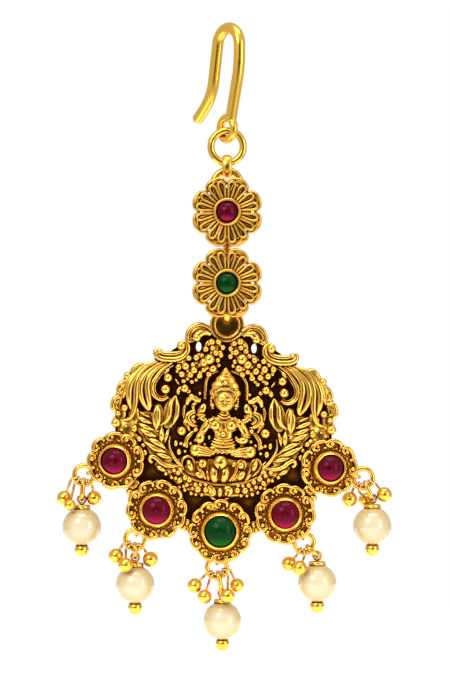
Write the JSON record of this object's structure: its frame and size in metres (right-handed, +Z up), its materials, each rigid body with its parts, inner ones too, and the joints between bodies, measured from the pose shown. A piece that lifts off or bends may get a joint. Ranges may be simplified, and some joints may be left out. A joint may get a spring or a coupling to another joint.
{
  "type": "maang tikka",
  "caption": "Gold-tone temple-style forehead ornament: a hook, two jewelled flowers on links and a relief pendant with red and green stones and hanging pearl drops.",
  "frame": {"origin": "inside of the hook's bend, at its top, where the ornament hangs from the hair or a thread", "axes": "+Z up; -Y is the front, towards the viewer; +X to the right seen from the front"},
  "size_m": [0.0437, 0.0089, 0.0819],
  "materials": {
    "polished_gold": "polished gold-plated brass wire, beads and links",
    "antique_gold": "gold-plated cast brass with dark brown oxidised recesses and burnished high points",
    "ruby": "deep red cabochon, polished dome",
    "emerald": "deep green cabochon, polished dome",
    "pearl": "cream pearl bead with a soft warm lustre"
  },
  "bodies": {
    "chain": {"hook": "polished_gold", "hook_ring": "polished_gold", "link_upper": "polished_gold", "flower_upper": "antique_gold", "ruby_upper": "ruby", "link_middle": "polished_gold", "flower_lower": "antique_gold", "emerald_lower": "emerald", "link_lower": "polished_gold"},
    "pendant": {"pendant_plate": "antique_gold", "ruby_outer_left": "ruby", "ruby_inner_left": "ruby", "emerald_centre": "emerald", "ruby_inner_right": "ruby", "ruby_outer_right": "ruby", "jump_ring_outer_left": "polished_gold", "drop_link_outer_left": "polished_gold", "head_pin_outer_left": "polished_gold", "bead_cap_outer_left": "polished_gold", "pearl_outer_left": "pearl", "gold_balls_outer_left": "polished_gold", "jump_ring_inner_left": "polished_gold", "drop_link_inner_left": "polished_gold", "head_pin_inner_left": "polished_gold", "bead_cap_inner_left": "polished_gold", "pearl_inner_left": "pearl", "gold_balls_inner_left": "polished_gold", "jump_ring_centre": "polished_gold", "drop_link_centre": "polished_gold", "head_pin_centre": "polished_gold", "bead_cap_centre": "polished_gold", "pearl_centre": "pearl", "gold_balls_centre": "polished_gold", "jump_ring_inner_right": "polished_gold", "drop_link_inner_right": "polished_gold", "head_pin_inner_right": "polished_gold", "bead_cap_inner_right": "polished_gold", "pearl_inner_right": "pearl", "gold_balls_inner_right": "polished_gold", "jump_ring_outer_right": "polished_gold", "drop_link_outer_right": "polished_gold", "head_pin_outer_right": "polished_gold", "bead_cap_outer_right": "polished_gold", "pearl_outer_right": "pearl", "gold_balls_outer_right": "polished_gold"}
  },
  "joints": [
    {"name": "pendant_swing", "type": "hinge", "parent": "chain", "child": "pendant", "pos_m": [-0.00014, 0.00024, -0.03653], "axis": [1, 0, 0], "range_deg": [-20, 20]}
  ]
}
